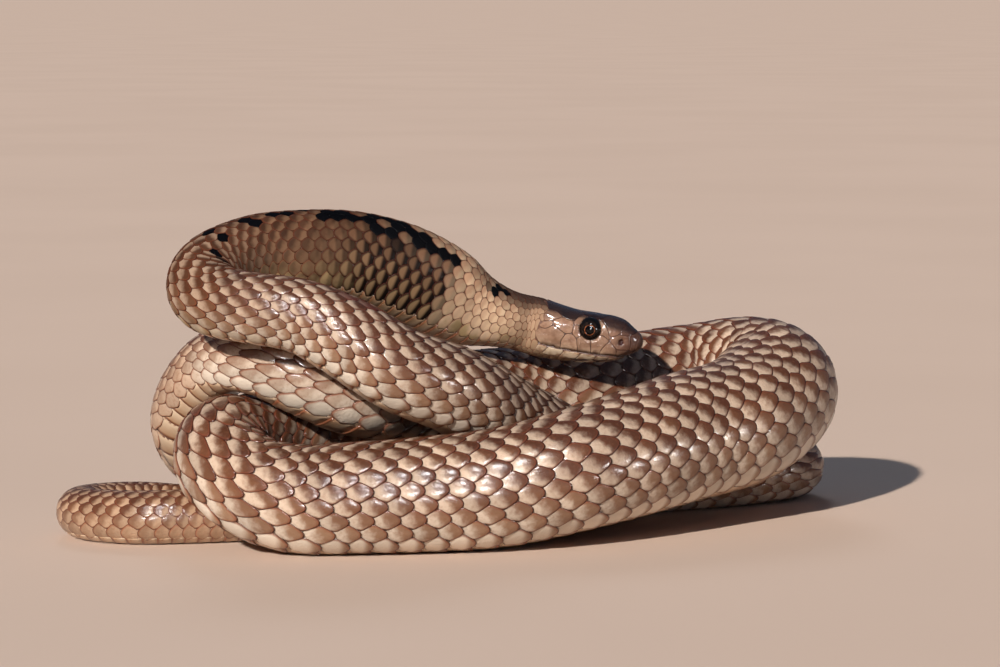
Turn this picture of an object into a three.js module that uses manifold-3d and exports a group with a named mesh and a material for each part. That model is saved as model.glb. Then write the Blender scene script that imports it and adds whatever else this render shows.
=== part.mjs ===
// A brown snake at rest in a loose heap of coils, life-size, as a museum still.
// Units are millimetres, +Z is up, +X is to the right of someone facing the heap, +Y is away from them.
// The origin is at the middle of the heap's footprint, on the floor that the snake lies on.
// Every length of the body is a solid of its own, parted from its neighbours by a thin cut.

import * as THREE from 'three';
import { mergeVertices } from 'three/addons/utils/BufferGeometryUtils.js';
import Module from 'manifold-3d';

// ---- driving dimensions ----------------------------------------------------------------------

const CUT = 0.3;             // width of the cut between two neighbouring pieces
const SKIN_GAP = 0.3;        // gap left where one stretch of the body lies against another
const BEND_ROOM = 0.93;      // share of the way to that other stretch that the body fills
const RING_SIDES = 16;       // corners of one cross-section of the body
const RING_STEP = 10;        // distance between two cross-sections on a straight run
const BEND_STEP = 0.42;      // turn in radians that also asks for a new cross-section
const NEIGHBOUR_STEP = 0.1;  // spacing of the middles that say what the body lies against

const MOUTH_LENGTH = 31;     // tip of the snout to the corner of the mouth
const EYE_RADIUS = 3.8;
const EYE_PROUD = 1.6;       // how far the eye stands out of the side of the head
const EYE_BACK = 17.1;       // middle of the eye behind the tip of the snout
const EYE_HEIGHT = 1.8;      // middle of the eye above the axis of the head
const HEAD_SIDE = 8.4;       // half the width of the head at the eyes

// ---- the route of the body, from the nape to the tip of the tail ------------------------------
// Each length has the direction its back faces, its section as width and height in shares of
// its thickness, and the places it passes: across, away, height of the middle, and half its
// thickness. The neck is spread thin and tall, and what lies under other coils is pressed flat.

const ROUTE = [
  { name: 'nape', back: [0.1, -0.1, 1], section: [1, 1], places: [
    [23.4, -1.2, 63.1, 9.2], [15.5, -3.8, 65.3, 9.8]] },
  { name: 'neck', back: [0, -0.1, 1], section: [0.86, 1.08], places: [
    [5, -7.2, 69, 12], [-4, -11.5, 74.5, 14.1], [-17, -17.5, 81.5, 14.3]] },
  { name: 'arch_of_neck', back: [0, 0, 1], section: [0.86, 1.01], places: [
    [-32, -23.5, 86.5, 14.3], [-47, -29, 87.5, 13.9], [-61, -34.5, 87, 13.2]] },
  { name: 'upper_left_turn', back: [-0.1, -0.1, 1], section: [1, 1], places: [
    [-72.5, -43, 83.3, 12.4], [-74.8, -50, 79.2, 12]] },
  { name: 'fore_trunk_1', back: [0, -0.3, 1], section: [1, 1], places: [
    [-71.2, -56.5, 75.8, 11.5], [-60, -61.5, 73.8, 11.1], [-45.5, -61.5, 71.3, 11.5],
    [-32, -60.5, 65, 12.6]] },
  { name: 'fore_trunk_2', back: [0, -0.4, 1], section: [1, 1], places: [
    [-15.5, -56.5, 54.5, 13.2], [0.5, -45, 47, 13.7], [16, -26.5, 35.5, 14.3],
    [29.5, -12.5, 26, 14.6]] },
  { name: 'fore_trunk_3', back: [0, -0.2, 1], section: [1.02, 0.98], places: [
    [39.5, -4, 18.6, 14.5], [53, 6.5, 14, 14.2], [71, 20, 12.2, 13]] },
  { name: 'lower_right_turn_1', back: [0, 0, 1], section: [1.1, 0.91], places: [
    [94.5, 33.5, 10.4, 12.2]] },
  { name: 'lower_right_turn_2', back: [0, 0, 1], section: [1.1, 0.91], places: [
    [109.5, 49, 10.6, 12.4], [100, 66, 10.8, 12.4]] },
  { name: 'mid_trunk_1', back: [0, 0, 1], section: [1.06, 0.95], places: [
    [68, 67.5, 11.9, 13.2], [45, 55, 13.4, 14.1]] },
  { name: 'mid_trunk_2', back: [0, 0, 1], section: [1, 1], places: [
    [18.5, 42, 18, 15], [-9, 29.5, 25.5, 15]] },
  { name: 'mid_trunk_3', back: [0, -0.1, 1], section: [1, 1], places: [
    [-28, 11.5, 36, 15], [-39, -9, 31, 15.2], [-47, -17.5, 30.3, 15.2]] },
  { name: 'lower_left_turn_1', back: [0.3, -0.2, 1], section: [1, 1], places: [
    [-59, -29, 30.3, 15.2]] },
  { name: 'lower_left_turn_2', back: [0.4, -0.1, 1], section: [1, 1], places: [
    [-69.5, -47.3, 30.3, 14.8], [-68, -57.4, 25.3, 15.3]] },
  { name: 'mid_trunk_4', back: [0.1, -0.1, 1], section: [1, 1], places: [
    [-58.2, -63.7, 19.2, 15.9], [-44, -65, 16.1, 16.7], [-27, -64, 16.5, 17.1]] },
  { name: 'mid_trunk_5', back: [0, -0.1, 1], section: [1, 1], places: [
    [-6.5, -61, 17.1, 17.7], [15, -57, 18.7, 18.3], [36.5, -49, 22.6, 18.9]] },
  { name: 'mid_trunk_6', back: [0, -0.1, 1], section: [1, 1], places: [
    [54.5, -35.5, 25.8, 19.7], [71.5, -19.5, 28.8, 20.5]] },
  { name: 'upper_right_turn_1', back: [-0.1, 0, 1], section: [1, 1], places: [
    [92.6, 0.6, 32.3, 20.9]] },
  { name: 'upper_right_turn_2', back: [-0.2, 0, 1], section: [1, 1], places: [
    [103.6, 24, 39.4, 21.2], [97, 35.4, 41.4, 20.5]] },
  { name: 'mid_trunk_7', back: [0, -0.2, 1], section: [1, 1], places: [
    [79, 40, 39.8, 19.3], [60, 33.5, 38.8, 18.3], [40.5, 23, 38.3, 17.2]] },
  { name: 'hind_trunk_1', back: [0, -0.1, 1], section: [1, 1], places: [
    [18, 13.5, 38.2, 16], [-2, -4, 39.5, 15.1], [-17.5, -24, 42.2, 14.2]] },
  { name: 'hind_trunk_2', back: [0, 0.25, 1], section: [1, 1], places: [
    [-32, -37, 45.6, 13.5], [-45, -42, 51, 12.7], [-58, -41, 56, 12]] },
  { name: 'hind_trunk_3', back: [-0.1, 0.6, 0.8], section: [1, 1], places: [
    [-72.5, -28.5, 53, 11.6], [-82, -18, 41.5, 11.6]] },
  { name: 'hind_trunk_4', back: [0.1, 1, 0.15], section: [1, 1], places: [
    [-84, -12.5, 32, 11.7], [-80.5, -6, 23.2, 11.7]] },
  { name: 'hind_trunk_5', back: [0.2, 0.3, 1], section: [1, 1], places: [
    [-69, 1, 15, 11.4], [-56.5, 6.5, 11, 11.4], [-40.5, 12.5, 10.5, 11.1]] },
  { name: 'hind_trunk_6', back: [0, 0, 1], section: [1, 1], places: [
    [-22.5, 8.5, 10.2, 10.8]] },
  { name: 'hind_trunk_7', back: [0, 0, 1], section: [1, 1], places: [
    [-11.5, -8, 10, 10.5], [-17.5, -23.5, 9.4, 9.9]] },
  { name: 'hind_trunk_8', back: [0, 0, 1], section: [1, 1], places: [
    [-32, -31.5, 9, 9.5], [-46, -38.5, 8.2, 8.8]] },
  { name: 'tail_1', back: [0, 0, 1], section: [1, 1], places: [
    [-65, -42, 7.7, 8.3], [-81, -45.5, 8.1, 8.7], [-97, -47, 8, 8.6], [-110.6, -41, 7.9, 8.4]] },
  { name: 'tail_2', back: [0, -0.1, 1], section: [1, 1], places: [
    [-115.2, -32.5, 7.7, 8.2], [-111.6, -24, 7.5, 8], [-99, -17.3, 7.3, 7.8]] },
  { name: 'tail_3', back: [0, 0, 1], section: [1, 1], places: [
    [-84.5, -17.5, 6.8, 7.3], [-63.5, -17.5, 5.9, 6.3], [-45.5, -15, 4.4, 4.8],
    [-30.5, -12.5, 2.7, 3], [-18, -10, 1.1, 1.3]] },
];

// ---- colours ---------------------------------------------------------------------------------

const BACK_BROWN = 0x8d6c55;
const NECK_TAN = 0xa98762;
const HEAD_BROWN = 0x6d5344;
const JAW_CREAM = 0xc0a886;
const EYE_BLACK = 0x14100e;

function skin(colour) {
  return new THREE.MeshStandardMaterial({ color: colour, roughness: 0.42, metalness: 0 });
}

function cornea() {
  return new THREE.MeshStandardMaterial({ color: EYE_BLACK, roughness: 0.08, metalness: 0 });
}

// ---- shared shape makers ---------------------------------------------------------------------

// A closed solid through rings of corners, with a flat fan over each end.
// Each ring runs anticlockwise for someone the rings are coming towards.
function loft(rings) {
  const corners = [];
  const faces = [];
  const sides = rings[0].length;
  rings.flat().forEach((corner) => corners.push(corner.x, corner.y, corner.z));
  for (let ring = 0; ring + 1 < rings.length; ring += 1) {
    for (let side = 0; side < sides; side += 1) {
      const next = (side + 1) % sides;
      const a = ring * sides + side;
      const b = ring * sides + next;
      const c = a + sides;
      const d = b + sides;
      faces.push(a, b, c, b, d, c);
    }
  }
  const last = (rings.length - 1) * sides;
  [rings[0], rings[rings.length - 1]].forEach((ring) => {
    const middle = ring.reduce((sum, corner) => sum.add(corner), new THREE.Vector3());
    middle.divideScalar(sides);
    corners.push(middle.x, middle.y, middle.z);
  });
  const startMiddle = rings.length * sides;
  for (let side = 0; side < sides; side += 1) {
    const next = (side + 1) % sides;
    faces.push(startMiddle, next, side);
    faces.push(startMiddle + 1, last + side, last + next);
  }
  const geometry = new THREE.BufferGeometry();
  geometry.setAttribute('position', new THREE.Float32BufferAttribute(corners, 3));
  geometry.setIndex(faces);
  return geometry;
}

// A value that runs smoothly through a row of values, by its place along the row.
function smoothly(values, place) {
  const first = Math.min(Math.floor(place), values.length - 2);
  const t = place - first;
  const at = (k) => values[THREE.MathUtils.clamp(k, 0, values.length - 1)];
  const [a, b, c, d] = [at(first - 1), at(first), at(first + 1), at(first + 2)];
  return 0.5 * (2 * b + (c - a) * t + (2 * a - 5 * b + 4 * c - d) * t * t + (3 * b - a - 3 * c + d) * t ** 3);
}

// ---- the body --------------------------------------------------------------------------------

const places = ROUTE.flatMap((length) => length.places);
const spine = new THREE.CatmullRomCurve3(
  places.map(([across, away, height]) => new THREE.Vector3(across, away, height)),
  false,
  'centripetal',
);
const halfThickness = places.map((place) => place[3]);
const backFacing = ROUTE.flatMap((length) => length.places.map(() => length.back));
const sectionShape = ROUTE.flatMap((length) => length.places.map(() => length.section));

function spineAt(place) {
  return spine.getPoint(THREE.MathUtils.clamp(place / (places.length - 1), 0, 1));
}

// The way the body runs there.
function alongAt(place) {
  return spineAt(place + 0.1).sub(spineAt(place - 0.1)).normalize();
}

function backAt(place) {
  const along = alongAt(place);
  const facing = new THREE.Vector3(
    smoothly(backFacing.map((back) => back[0]), place),
    smoothly(backFacing.map((back) => back[1]), place),
    smoothly(backFacing.map((back) => back[2]), place),
  );
  return facing.addScaledVector(along, -facing.dot(along)).normalize();
}

// The middles of the whole body, close enough together to see what any stretch of it lies against.
const NEIGHBOURS = [];
for (let place = 0; place <= places.length - 1; place += NEIGHBOUR_STEP) {
  NEIGHBOURS.push({ place, middle: spineAt(place), half: smoothly(halfThickness, place) });
}

// How far the body can reach from its middle before it meets another stretch of itself:
// as far as the plane between the two. Next to a bend that plane runs through the bend's centre.
function roomTowards(place, middle, half, out) {
  let room = Infinity;
  NEIGHBOURS.forEach((other) => {
    const apart = Math.abs(other.place - place);
    const towards = other.middle.clone().sub(middle);
    const reach = 2 * out.dot(towards);
    if (apart < 0.15 || reach <= 0) return;
    const thicker = apart < 3 ? 0 : half ** 2 - other.half ** 2;
    room = Math.min(room, (towards.lengthSq() + thicker) / reach);
  });
  return room * BEND_ROOM - SKIN_GAP / 2;
}

// One cross-section: nearly round, wider where it is pressed, flat where it lies against
// another stretch of the body and flat where it lies on the floor.
function crossSection(place) {
  const middle = spineAt(place);
  const along = alongAt(place);
  const back = backAt(place);
  const flank = new THREE.Vector3().crossVectors(along, back);
  const half = smoothly(halfThickness, place);
  const wide = smoothly(sectionShape.map((section) => section[0]), place);
  const tall = smoothly(sectionShape.map((section) => section[1]), place);
  const ring = [];
  for (let side = 0; side < RING_SIDES; side += 1) {
    const turn = (2 * Math.PI * (side + 0.5)) / RING_SIDES;
    const out = new THREE.Vector3();
    out.addScaledVector(back, tall * Math.cos(turn));
    out.addScaledVector(flank, wide * Math.sin(turn));
    const reach = half * out.length();
    out.normalize();
    const corner = middle.clone().addScaledVector(out, Math.min(reach, roomTowards(place, middle, half, out)));
    corner.z = Math.max(corner.z, 0);
    ring.push(corner);
  }
  return ring;
}

// Cross-sections from one place to another, closer together where the body bends.
function lengthOfBody(from, to) {
  const speed = (place) => spineAt(place + 0.01).distanceTo(spineAt(place - 0.01)) / 0.02;
  const start = from === 0 ? from : from + CUT / 2 / speed(from);
  const end = to >= places.length - 1 ? to : to - CUT / 2 / speed(to);
  const steps = Math.ceil((to - from) * 40);
  const placeOf = (step) => start + ((end - start) * step) / steps;
  const marks = [0];
  for (let step = 1; step <= steps; step += 1) {
    const moved = spineAt(placeOf(step - 1)).distanceTo(spineAt(placeOf(step)));
    const turned = alongAt(placeOf(step - 1)).angleTo(alongAt(placeOf(step)));
    marks.push(marks[step - 1] + moved / RING_STEP + turned / BEND_STEP);
  }
  const count = Math.max(2, Math.round(marks[steps]));
  const rings = [];
  for (let step = 0; step <= steps; step += 1) {
    if (marks[step] >= (rings.length * marks[steps]) / count - 1e-9) rings.push(crossSection(placeOf(step)));
  }
  return loft(rings);
}

// ---- the head --------------------------------------------------------------------------------
// The head is lofted along its own axis, then the eye sockets and the lower jaw are cut from it.

const HEAD_TIP = new THREE.Vector3(59.9, -3.5, 57.1);
const HEAD_TURN = 0.06;      // snout nearer to the viewer than the nape, in radians
const HEAD_DIP = 0.2;        // snout lower than the nape, in radians
const HEAD_SIDES = 24;       // corners of one cross-section of the head
const HEAD_SQUARENESS = 2.5; // 2 is a round section, more is squarer

// Behind the tip of the snout: half width, height over and depth under the axis.
const HEAD_SECTIONS = [
  [0, 1.2, 1, 1.2],
  [0.5, 2.5, 2.1, 2.2],
  [1.4, 3.6, 3.1, 2.9],
  [3.6, 5, 4.7, 4.6],
  [6.8, 6.2, 6.7, 6.5],
  [11, 7.3, 7, 8],
  [14, 7.9, 6.6, 8.8],
  [20.8, 9, 6.3, 9.9],
  [28, 10, 6.8, 10.5],
  [35.5, 9.7, 7.9, 10.5],
  [43, 9.4, 9.1, 10],
];

function headPoint(behind, sideways, up) {
  const forward = new THREE.Vector3(Math.cos(HEAD_DIP) * Math.cos(HEAD_TURN), -Math.sin(HEAD_TURN), -Math.sin(HEAD_DIP));
  const right = new THREE.Vector3().crossVectors(forward, new THREE.Vector3(0, 0, 1)).normalize();
  const above = new THREE.Vector3().crossVectors(right, forward);
  return HEAD_TIP.clone()
    .addScaledVector(forward, -behind)
    .addScaledVector(right, sideways)
    .addScaledVector(above, up);
}

function headBlock() {
  const rounded = (value) => Math.sign(value) * Math.abs(value) ** (2 / HEAD_SQUARENESS);
  const rings = HEAD_SECTIONS.map(([behind, half, over, under]) => {
    const ring = [];
    for (let side = 0; side < HEAD_SIDES; side += 1) {
      const turn = (2 * Math.PI * side) / HEAD_SIDES;
      const rise = rounded(Math.cos(turn));
      ring.push(headPoint(behind, half * rounded(Math.sin(turn)), rise > 0 ? over * rise : under * rise));
    }
    return ring;
  });
  return loft(rings.reverse());
}

// The gape of the mouth: behind the snout, height of the mouth's line over the axis.
const MOUTH_LINE = [
  [-4, -3.4], [1.2, -3.5], [4.8, -4.8], [9, -5.5], [14.6, -5.6], [20.5, -5.1], [25.6, -5.4], [MOUTH_LENGTH, -6],
];

// All that lies under the mouth's line, lowered by half a cut on either side of it.
function underMouth(lowered, shorter) {
  const halfWidth = 16;
  const depth = 16;
  const rings = MOUTH_LINE.map(([behind, height]) => {
    const at = behind === MOUTH_LENGTH ? MOUTH_LENGTH - shorter : behind;
    return [
      headPoint(at, halfWidth, height - lowered),
      headPoint(at, -halfWidth, height - lowered),
      headPoint(at, -halfWidth, -depth),
      headPoint(at, halfWidth, -depth),
    ];
  });
  return loft(rings);
}

function ball(radius, centre, rows) {
  const geometry = new THREE.SphereGeometry(radius, rows * 2, rows);
  geometry.translate(centre.x, centre.y, centre.z);
  return geometry;
}

const wasm = await Module();
wasm.setup();

function toSolid(geometry) {
  const bare = geometry.clone();
  bare.deleteAttribute('normal');
  bare.deleteAttribute('uv');
  const merged = mergeVertices(bare, 1e-4);
  return new wasm.Manifold(new wasm.Mesh({
    numProp: 3,
    vertProperties: new Float32Array(merged.attributes.position.array),
    triVerts: new Uint32Array(merged.index.array),
  }));
}

function toGeometry(solid) {
  const mesh = solid.getMesh();
  const geometry = new THREE.BufferGeometry();
  geometry.setAttribute('position', new THREE.Float32BufferAttribute(Array.from(mesh.vertProperties), 3));
  geometry.setIndex(Array.from(mesh.triVerts));
  return geometry;
}

// ---- assembly --------------------------------------------------------------------------------

const snake = new THREE.Group();

function addPiece(name, geometry, material) {
  geometry.computeVertexNormals();
  const piece = new THREE.Mesh(geometry, material);
  piece.name = name;
  snake.add(piece);
}

const eyeRows = 7;
const eyeSides = { eye_right: 1, eye_left: -1 };
const nape = spineAt(0);
const forward = alongAt(0).negate();
const napeOffset = nape.dot(forward) + CUT;
let head = toSolid(headBlock()).trimByPlane(forward.toArray(), napeOffset);
const jaw = head.intersect(toSolid(underMouth(CUT / 2, CUT / 2)));
head = head.subtract(toSolid(underMouth(-CUT / 2, -CUT / 2)));
Object.entries(eyeSides).forEach(([name, side]) => {
  const centre = headPoint(EYE_BACK, side * (HEAD_SIDE + EYE_PROUD - EYE_RADIUS), EYE_HEIGHT);
  head = head.subtract(toSolid(ball(EYE_RADIUS + CUT, centre, eyeRows)));
  addPiece(name, ball(EYE_RADIUS, centre, eyeRows), cornea());
});
addPiece('head', toGeometry(head), skin(HEAD_BROWN));
addPiece('lower_jaw', toGeometry(jaw), skin(JAW_CREAM));

let firstPlace = 0;
ROUTE.forEach((length, order) => {
  const isLast = order === ROUTE.length - 1;
  const lastPlace = isLast ? places.length - 1 : firstPlace + length.places.length;
  const colour = order < 3 ? NECK_TAN : BACK_BROWN;
  addPiece(length.name, lengthOfBody(firstPlace, lastPlace), skin(colour));
  firstPlace = lastPlace;
});

export default snake;
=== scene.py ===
import math

import bpy
import numpy as np
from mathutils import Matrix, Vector
from mathutils.bvhtree import BVHTree


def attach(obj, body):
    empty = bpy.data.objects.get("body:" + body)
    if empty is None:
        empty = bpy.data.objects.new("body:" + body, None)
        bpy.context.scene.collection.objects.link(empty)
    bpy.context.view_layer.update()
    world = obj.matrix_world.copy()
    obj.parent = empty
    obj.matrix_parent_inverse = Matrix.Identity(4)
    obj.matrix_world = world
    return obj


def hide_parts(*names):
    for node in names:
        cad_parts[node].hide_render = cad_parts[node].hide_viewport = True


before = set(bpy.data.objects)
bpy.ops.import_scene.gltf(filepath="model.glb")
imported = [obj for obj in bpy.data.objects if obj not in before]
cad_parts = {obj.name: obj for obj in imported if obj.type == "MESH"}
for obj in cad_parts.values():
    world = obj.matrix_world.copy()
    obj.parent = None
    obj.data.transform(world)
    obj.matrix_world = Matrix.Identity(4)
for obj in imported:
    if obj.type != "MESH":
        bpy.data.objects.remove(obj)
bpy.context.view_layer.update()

for thing in bpy.context.selected_objects:
    thing.select_set(False)

# ---- the flesh ---------------------------------------------------------------------------------
# One closed skin from the snout to the tip of the tail, drawn over a spine that is laid through
# the coils. It lies under the outline of the animal by the thickness of the scales, is flat where
# it rests on the floor, and flat where one stretch of the body leans on another.

# The route by lengths of the body: the way the back faces, the width and height of the section in
# shares of the thickness, and the places passed. A place is how far across, how far away and how
# high the middle lies, and half the thickness, in millimetres.
ROUTE = [
    # nape
    ((0.1, -0.1, 1), (1, 1), [(23.4, -1.2, 63.1, 9.2), (15.5, -3.8, 65.3, 9.8)]),
    # neck and its arch
    ((0, -0.1, 1), (0.86, 1.08), [
        (5, -7.2, 69, 12), (-4, -11.5, 74.5, 14.1), (-17, -17.5, 81.5, 14.3)]),
    ((0, 0, 1), (0.86, 1.01), [
        (-32, -23.5, 86.5, 14.3), (-47, -29, 87.5, 13.9), (-61, -34.5, 87, 13.2)]),
    # upper left turn
    ((-0.1, -0.1, 1), (1, 1), [(-72.5, -43, 83.3, 12.4), (-74.8, -50, 79.2, 12)]),
    # fore trunk, down across the front and under
    ((0, -0.3, 1), (1, 1), [
        (-71.2, -56.5, 75.8, 11.5), (-60, -61.5, 73.8, 11.1), (-45.5, -61.5, 71.3, 11.5),
        (-32, -60.5, 65, 12.6)]),
    ((0, -0.4, 1), (1, 1), [
        (-15.5, -56.5, 54.5, 13.2), (0.5, -45, 47, 13.7), (16, -26.5, 35.5, 14.3),
        (29.5, -12.5, 26, 14.6)]),
    ((0, -0.2, 1), (1.02, 0.98), [(39.5, -4, 18.6, 14.5), (53, 6.5, 14, 14.2), (71, 20, 12.2, 13)]),
    # lower right turn, pressed flat under the heap
    ((0, 0, 1), (1.1, 0.91), [
        (94.5, 33.5, 10.4, 12.2), (109.5, 49, 10.6, 12.4), (100, 66, 10.8, 12.4)]),
    # mid trunk, along the back and up into the heap
    ((0, 0, 1), (1.06, 0.95), [(68, 67.5, 11.9, 13.2), (45, 55, 13.4, 14.1)]),
    ((0, 0, 1), (1, 1), [(18.5, 42, 18, 15), (-9, 29.5, 25.5, 15)]),
    ((0, -0.1, 1), (1, 1), [(-28, 11.5, 36, 15), (-39, -9, 31, 15.2), (-47, -17.5, 30.3, 15.2)]),
    # lower left turn
    ((0.3, -0.2, 1), (1, 1), [(-59, -29, 30.3, 15.2)]),
    ((0.4, -0.1, 1), (1, 1), [(-69.5, -47.3, 30.3, 14.8), (-68, -57.4, 25.3, 15.3)]),
    # the thick front coil
    ((0.1, -0.1, 1), (1, 1), [
        (-58.2, -63.7, 19.2, 15.9), (-44, -65, 16.1, 16.7), (-27, -64, 16.5, 17.1)]),
    ((0, -0.1, 1), (1, 1), [
        (-6.5, -61, 17.1, 17.7), (15, -57, 18.7, 18.3), (36.5, -49, 22.6, 18.9),
        (54.5, -35.5, 25.8, 19.7), (71.5, -19.5, 28.8, 20.5)]),
    # upper right turn
    ((-0.1, 0, 1), (1, 1), [(92.6, 0.6, 32.3, 20.9)]),
    ((-0.2, 0, 1), (1, 1), [(103.6, 24, 39.4, 21.2), (97, 35.4, 41.4, 20.5)]),
    # back across the heap
    ((0, -0.2, 1), (1, 1), [(79, 40, 39.8, 19.3), (60, 33.5, 38.8, 18.3), (40.5, 23, 38.3, 17.2)]),
    ((0, -0.1, 1), (1, 1), [(18, 13.5, 38.2, 16), (-2, -4, 39.5, 15.1), (-17.5, -24, 42.2, 14.2)]),
    # the loop that lies on top at the left and plunges behind
    ((0, 0.25, 1), (1, 1), [(-32, -37, 45.6, 13.5), (-45, -42, 51, 12.7), (-58, -41, 56, 12)]),
    ((-0.1, 0.6, 0.8), (1, 1), [(-72.5, -28.5, 53, 11.6), (-82, -18, 41.5, 11.6)]),
    ((0.1, 1, 0.15), (1, 1), [(-84, -12.5, 32, 11.7), (-80.5, -6, 23.2, 11.7)]),
    # hind trunk on the floor inside the heap
    ((0.2, 0.3, 1), (1, 1), [
        (-69, 1, 15, 11.4), (-56.5, 6.5, 11, 11.4), (-40.5, 12.5, 10.5, 11.1)]),
    ((0, 0, 1), (1, 1), [
        (-22.5, 8.5, 10.2, 10.8), (-11.5, -8, 10, 10.5), (-17.5, -23.5, 9.4, 9.9),
        (-32, -31.5, 9, 9.5), (-46, -38.5, 8.2, 8.8)]),
    # tail
    ((0, 0, 1), (1, 1), [
        (-65, -42, 7.7, 8.3), (-81, -45.5, 8.1, 8.7), (-97, -47, 8, 8.6), (-110.6, -41, 7.9, 8.4)]),
    ((0, -0.1, 1), (1, 1), [
        (-115.2, -32.5, 7.7, 8.2), (-111.6, -24, 7.5, 8), (-99, -17.3, 7.3, 7.8)]),
    ((0, 0, 1), (1, 1), [
        (-84.5, -17.5, 6.8, 7.3), (-63.5, -17.5, 5.9, 6.3), (-45.5, -15, 4.4, 4.8),
        (-30.5, -12.5, 2.7, 3), (-18, -10, 1.1, 1.3)]),
]
route = np.array([place + back + section for back, section, places in ROUTE for place in places],
                 float)
MM = 0.001
SCALE_DEPTH = 0.5        # how far the skin lies under the tops of the scales
SHIELD_DEPTH = 0.3       # the same on the head
STEP = 0.8               # between two rings of the body's surface
SIDES = 96               # columns of the surface, from the back round over the left flank


def unit(v):
    return v / np.maximum(np.linalg.norm(v, axis=-1, keepdims=True), 1e-9)


def smoothly(values, place):
    """A row of values followed smoothly, by place along the row."""
    first = np.clip(np.floor(place).astype(int), 0, len(values) - 2)
    t = place - first
    if values.ndim == 2:
        t = t[:, None]
    a, b, c, d = (values[np.clip(first + k, 0, len(values) - 1)] for k in (-1, 0, 1, 2))
    return 0.5 * (2 * b + (c - a) * t + (2 * a - 5 * b + 4 * c - d) * t**2
                  + (3 * b - a - 3 * c + d) * t**3)


def spine(place):
    """The middle of the body: a curve through the route with no overshoot in its tight turns."""
    knots = np.vstack([2 * route[0] - route[1], route, 2 * route[-1] - route[-2]])[:, :3]
    first = np.clip(np.floor(place).astype(int), 0, len(route) - 2)
    t = (place - first)[:, None]
    p0, p1, p2, p3 = (knots[first + k] for k in range(4))
    d0, d1, d2 = (np.sqrt(np.linalg.norm(b - a, axis=1))[:, None]
                  for a, b in ((p0, p1), (p1, p2), (p2, p3)))
    leave = ((p1 - p0) / d0 - (p2 - p0) / (d0 + d1) + (p2 - p1) / d1) * d1
    arrive = ((p2 - p1) / d1 - (p3 - p1) / (d1 + d2) + (p3 - p2) / d2) * d1
    return (p1 + leave * t + (3 * (p2 - p1) - 2 * leave - arrive) * t**2
            + (2 * (p1 - p2) + leave + arrive) * t**3)


FINE_STEPS = 40          # points of the measured curve to each place of the route
fine = np.linspace(0, len(route) - 1, FINE_STEPS * len(route))
run = np.concatenate([[0], np.cumsum(np.linalg.norm(np.diff(spine(fine), axis=0), axis=1))])
BODY_LENGTH = run[-1]    # from the nape to the tip of the tail


def place_at(distance):
    return np.interp(distance, run, fine)


def body_sections(distance):
    """Middle, back and flank directions, half thickness and section at each distance."""
    place = place_at(distance)
    middle = spine(place)
    along = unit(spine(place_at(distance + STEP)) - spine(place_at(distance - STEP)))
    facing = smoothly(route[:, 4:7], place)
    back = unit(facing - along * np.sum(facing * along, axis=1, keepdims=True))
    flank = np.cross(along, back)
    return middle, back, flank, smoothly(route[:, 3], place), smoothly(route[:, 7:9], place)


# The body fills the room up to the plane halfway to each middle of its other stretches.
NEIGHBOUR_STEP = 2.5     # between those middles
TOO_NEAR = 1.8           # middles nearer than this along the body don't count
OWN_BEND = 40            # up to this far along the body they belong to its own bend
BEND_ROOM, COIL_ROOM = 0.93, 0.98    # share of the way filled, in a bend and towards other coils
GAP = 0.15               # kept free after that
SOFTENINGS = 3           # rounds of smoothing of what is left


def body_surface(distance):
    """Rows of points right round the body, kept off the floor and off the body's other coils."""
    middle, back, flank, half, shape = body_sections(distance)
    turn = 2 * np.pi * np.arange(SIDES) / SIDES
    out = (back[:, None] * (shape[:, 1:] * np.cos(turn))[..., None]
           + flank[:, None] * (shape[:, :1] * np.sin(turn))[..., None])
    reach = half[:, None] * np.linalg.norm(out, axis=2)
    out = unit(out)
    others = np.arange(0, BODY_LENGTH, NEIGHBOUR_STEP)
    other_middle, _, _, other_half, _ = body_sections(others)
    for row in range(len(distance)):
        towards = other_middle - middle[row]
        apart = np.abs(others - distance[row])
        thicker = np.where(apart < OWN_BEND, 0, half[row] ** 2 - other_half**2)
        near = 2 * out[row] @ towards.T
        room = (np.sum(towards**2, axis=1) + thicker) / np.maximum(near, 1e-6)
        room = np.where((near > 1e-6) & (apart > TOO_NEAR), room, 1e3)
        room = room * np.where(apart < OWN_BEND, BEND_ROOM, COIL_ROOM)
        reach[row] = np.minimum(reach[row], room.min(axis=1) - GAP)
    for _ in range(SOFTENINGS):
        padded = np.vstack([reach[:1], reach, reach[-1:]])
        reach = (padded[:-2] + 2 * reach + padded[2:]) / 4
        reach = (np.roll(reach, 1, axis=1) + 2 * reach + np.roll(reach, -1, axis=1)) / 4
    depth = np.minimum(SCALE_DEPTH, 0.06 * half)[:, None]
    points = middle[:, None] + out * (reach - depth)[..., None]
    points[..., 2] = np.maximum(points[..., 2], depth)
    return points


# The head, behind the tip of the snout: half its width, height over and depth under its axis.
HEAD = np.array([
    (0, 0.9, 0.8, 0.9),
    (0.5, 2.5, 2.1, 2.2),
    (1.4, 3.6, 3.1, 2.9),
    (3.6, 5, 4.4, 4.7),
    (6.8, 6.2, 6.3, 6.7),
    (11, 7.3, 6.9, 8.3),
    (14, 7.9, 6.6, 9.1),
    (20.8, 9, 6.3, 10.3),
    (28, 10, 6.9, 10.9),
    (35.5, 9.7, 8.0, 10.9),
    (38.5, 9.4, 8.3, 10.7),
], float)
HEAD_LENGTH = 37.2       # snout to nape
snout = np.array((59.9, -3.5, 57.1))
forward = np.array((math.cos(0.2) * math.cos(0.06), -math.sin(0.06), -math.sin(0.2)))
right = unit(np.cross(forward, (0, 0, 1)))
above = np.cross(right, forward)


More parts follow.
